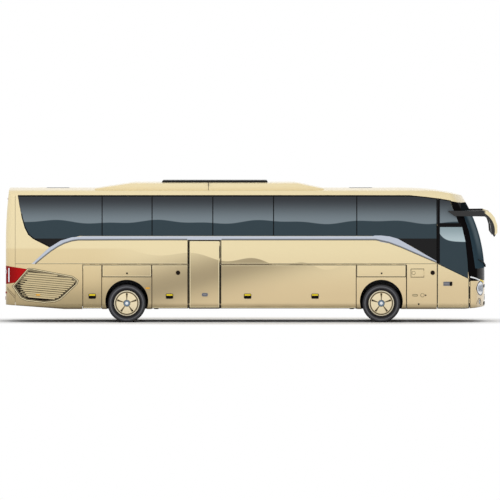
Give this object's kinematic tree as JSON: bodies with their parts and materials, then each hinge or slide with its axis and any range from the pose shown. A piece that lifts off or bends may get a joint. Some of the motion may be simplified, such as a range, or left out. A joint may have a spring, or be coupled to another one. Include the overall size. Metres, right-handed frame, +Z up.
{
  "type": "coach bus",
  "caption": "High-deck two-axle touring coach with glazed sides, luggage bay flaps, two passenger doors, roof unit and steered front wheels.",
  "frame": {"origin": "on the ground under the middle of the overall length and width", "axes": "+X forward, +Y to the coach's left, +Z up"},
  "size_m": [13.438, 2.66, 3.862],
  "materials": {
    "body_paint": "gloss",
    "black_gloss": "gloss",
    "mirror_housing": "gloss",
    "grille_paint": "satin",
    "tinted_glass": "gloss",
    "bright_strip": "satin",
    "clear_lens": "gloss",
    "red_lens": "gloss",
    "frame_steel": "matte",
    "bay_lining": "matte",
    "floor_covering": "matte",
    "seat_fabric": "matte",
    "dash_plastic": "matte",
    "engine_iron": "matte",
    "tyre_rubber": "matte",
    "wheel_trim": "satin"
  },
  "bodies": {
    "coach_body": {"chassis_frame": "frame_steel", "luggage_bay": "bay_lining", "saloon_floor": "floor_covering", "side_wall_right": "body_paint", "side_wall_left": "body_paint", "wheel_arch_panels": "body_paint", "wheelhouses": "bay_lining", "roof_panel": "body_paint", "roof_pod": "body_paint", "condenser_cover": "black_gloss", "front_panel": "body_paint", "windscreen_surround": "black_gloss", "windscreen": "tinted_glass", "rear_panel": "body_paint", "saloon_windows": "tinted_glass", "waist_trims": "bright_strip", "front_lamps": "clear_lens", "tail_lamps": "red_lens", "mirrors": "mirror_housing", "radiator_grilles": "grille_paint", "passenger_seats": "seat_fabric", "driver_seat": "seat_fabric", "dashboard": "dash_plastic", "engine_block": "engine_iron", "front_axle": "frame_steel", "rear_axle": "frame_steel"},
    "knuckle_right": {"knuckle_right": "frame_steel"},
    "knuckle_left": {"knuckle_left": "frame_steel"},
    "front_right_wheel": {"rim_front_right": "wheel_trim", "tyre_front_right": "tyre_rubber"},
    "front_left_wheel": {"rim_front_left": "wheel_trim", "tyre_front_left": "tyre_rubber"},
    "rear_right_wheel": {"rim_rear_right": "wheel_trim", "tyre_rear_right": "tyre_rubber"},
    "rear_left_wheel": {"rim_rear_left": "wheel_trim", "tyre_rear_left": "tyre_rubber"},
    "front_door": {"front_door": "body_paint", "front_door_glass": "tinted_glass"},
    "mid_door": {"mid_door": "body_paint"},
    "service_flap_right": {"service_flap_right": "body_paint"},
    "rear_arch_flap_right": {"rear_arch_flap_right": "body_paint"},
    "rear_luggage_flap_right": {"rear_luggage_flap_right": "body_paint"},
    "main_luggage_flap_right": {"main_luggage_flap_right": "body_paint"},
    "front_arch_flap_right": {"front_arch_flap_right": "body_paint"},
    "service_flap_left": {"service_flap_left": "body_paint"},
    "rear_arch_flap_left": {"rear_arch_flap_left": "body_paint"},
    "rear_luggage_flap_left": {"rear_luggage_flap_left": "body_paint"},
    "main_luggage_flap_left": {"main_luggage_flap_left": "body_paint"},
    "front_arch_flap_left": {"front_arch_flap_left": "body_paint"},
    "fuel_flap": {"fuel_flap": "body_paint"},
    "engine_lid": {"engine_lid": "body_paint"},
    "steering_wheel": {"steering_wheel": "dash_plastic"}
  },
  "joints": [
    {"name": "steer_right", "type": "hinge", "parent": "coach_body", "child": "knuckle_right", "pos_m": [3.553, -0.88, 0.523], "axis": [0, 0, 1], "range_deg": [-45, 45]},
    {"name": "steer_left", "type": "hinge", "parent": "coach_body", "child": "knuckle_left", "pos_m": [3.553, 0.88, 0.523], "axis": [0, 0, 1], "range_deg": [-45, 45]},
    {"name": "steering_wheel_turn", "type": "hinge", "parent": "coach_body", "child": "steering_wheel", "pos_m": [5.56, 0.61, 1.76], "axis": [-0.4226, 0, 0.9063], "range_deg": [-540, 540]},
    {"name": "front_right_wheel_spin", "type": "hinge", "parent": "knuckle_right", "child": "front_right_wheel", "pos_m": [3.553, -1.098, 0.523], "axis": [0, 1, 0], "continuous": true},
    {"name": "front_left_wheel_spin", "type": "hinge", "parent": "knuckle_left", "child": "front_left_wheel", "pos_m": [3.553, 1.098, 0.523], "axis": [0, 1, 0], "continuous": true},
    {"name": "rear_right_wheel_spin", "type": "hinge", "parent": "coach_body", "child": "rear_right_wheel", "pos_m": [-3.397, -1.098, 0.523], "axis": [0, 1, 0], "continuous": true},
    {"name": "rear_left_wheel_spin", "type": "hinge", "parent": "coach_body", "child": "rear_left_wheel", "pos_m": [-3.397, 1.098, 0.523], "axis": [0, 1, 0], "continuous": true},
    {"name": "front_door_swing", "type": "hinge", "parent": "coach_body", "child": "front_door", "pos_m": [5.956, -1.281, 0.8], "axis": [0, 0, 1], "range_deg": [0, 90]},
    {"name": "mid_door_swing", "type": "hinge", "parent": "coach_body", "child": "mid_door", "pos_m": [-0.858, -1.281, 1.9], "axis": [0, 0, 1], "range_deg": [0, 90]},
    {"name": "service_flap_right_lift", "type": "hinge", "parent": "coach_body", "child": "service_flap_right", "pos_m": [-4.3405, -1.281, 1.587], "axis": [-1, 0, 0], "range_deg": [0, 90]},
    {"name": "rear_arch_flap_right_lift", "type": "hinge", "parent": "coach_body", "child": "rear_arch_flap_right", "pos_m": [-3.397, -1.281, 1.587], "axis": [-1, 0, 0], "range_deg": [0, 90]},
    {"name": "rear_luggage_flap_right_lift", "type": "hinge", "parent": "coach_body", "child": "rear_luggage_flap_right", "pos_m": [-2.216, -1.281, 1.587], "axis": [-1, 0, 0], "range_deg": [0, 90]},
    {"name": "main_luggage_flap_right_lift", "type": "hinge", "parent": "coach_body", "child": "main_luggage_flap_right", "pos_m": [1.0105, -1.281, 1.587], "axis": [-1, 0, 0], "range_deg": [0, 90]},
    {"name": "front_arch_flap_right_lift", "type": "hinge", "parent": "coach_body", "child": "front_arch_flap_right", "pos_m": [3.553, -1.281, 1.587], "axis": [-1, 0, 0], "range_deg": [0, 90]},
    {"name": "service_flap_left_lift", "type": "hinge", "parent": "coach_body", "child": "service_flap_left", "pos_m": [-4.3405, 1.281, 1.587], "axis": [1, 0, 0], "range_deg": [0, 90]},
    {"name": "rear_arch_flap_left_lift", "type": "hinge", "parent": "coach_body", "child": "rear_arch_flap_left", "pos_m": [-3.397, 1.281, 1.587], "axis": [1, 0, 0], "range_deg": [0, 90]},
    {"name": "rear_luggage_flap_left_lift", "type": "hinge", "parent": "coach_body", "child": "rear_luggage_flap_left", "pos_m": [-1.7865, 1.281, 1.587], "axis": [1, 0, 0], "range_deg": [0, 90]},
    {"name": "main_luggage_flap_left_lift", "type": "hinge", "parent": "coach_body", "child": "main_luggage_flap_left", "pos_m": [1.0105, 1.281, 1.587], "axis": [1, 0, 0], "range_deg": [0, 90]},
    {"name": "front_arch_flap_left_lift", "type": "hinge", "parent": "coach_body", "child": "front_arch_flap_left", "pos_m": [3.553, 1.281, 1.587], "axis": [1, 0, 0], "range_deg": [0, 90]},
    {"name": "fuel_flap_swing", "type": "hinge", "parent": "coach_body", "child": "fuel_flap", "pos_m": [4.717, -1.281, 1.3485], "axis": [0, 0, 1], "range_deg": [0, 90]},
    {"name": "engine_lid_lift", "type": "hinge", "parent": "coach_body", "child": "engine_lid", "pos_m": [-6.712, 0, 1.5], "axis": [0, 1, 0], "range_deg": [0, 90]}
  ],
  "couplings": [
    {"joint": "steer_left", "follows": "steer_right", "ratio": 1},
    {"joint": "steering_wheel_turn", "follows": "steer_right", "ratio": 12}
  ]
}
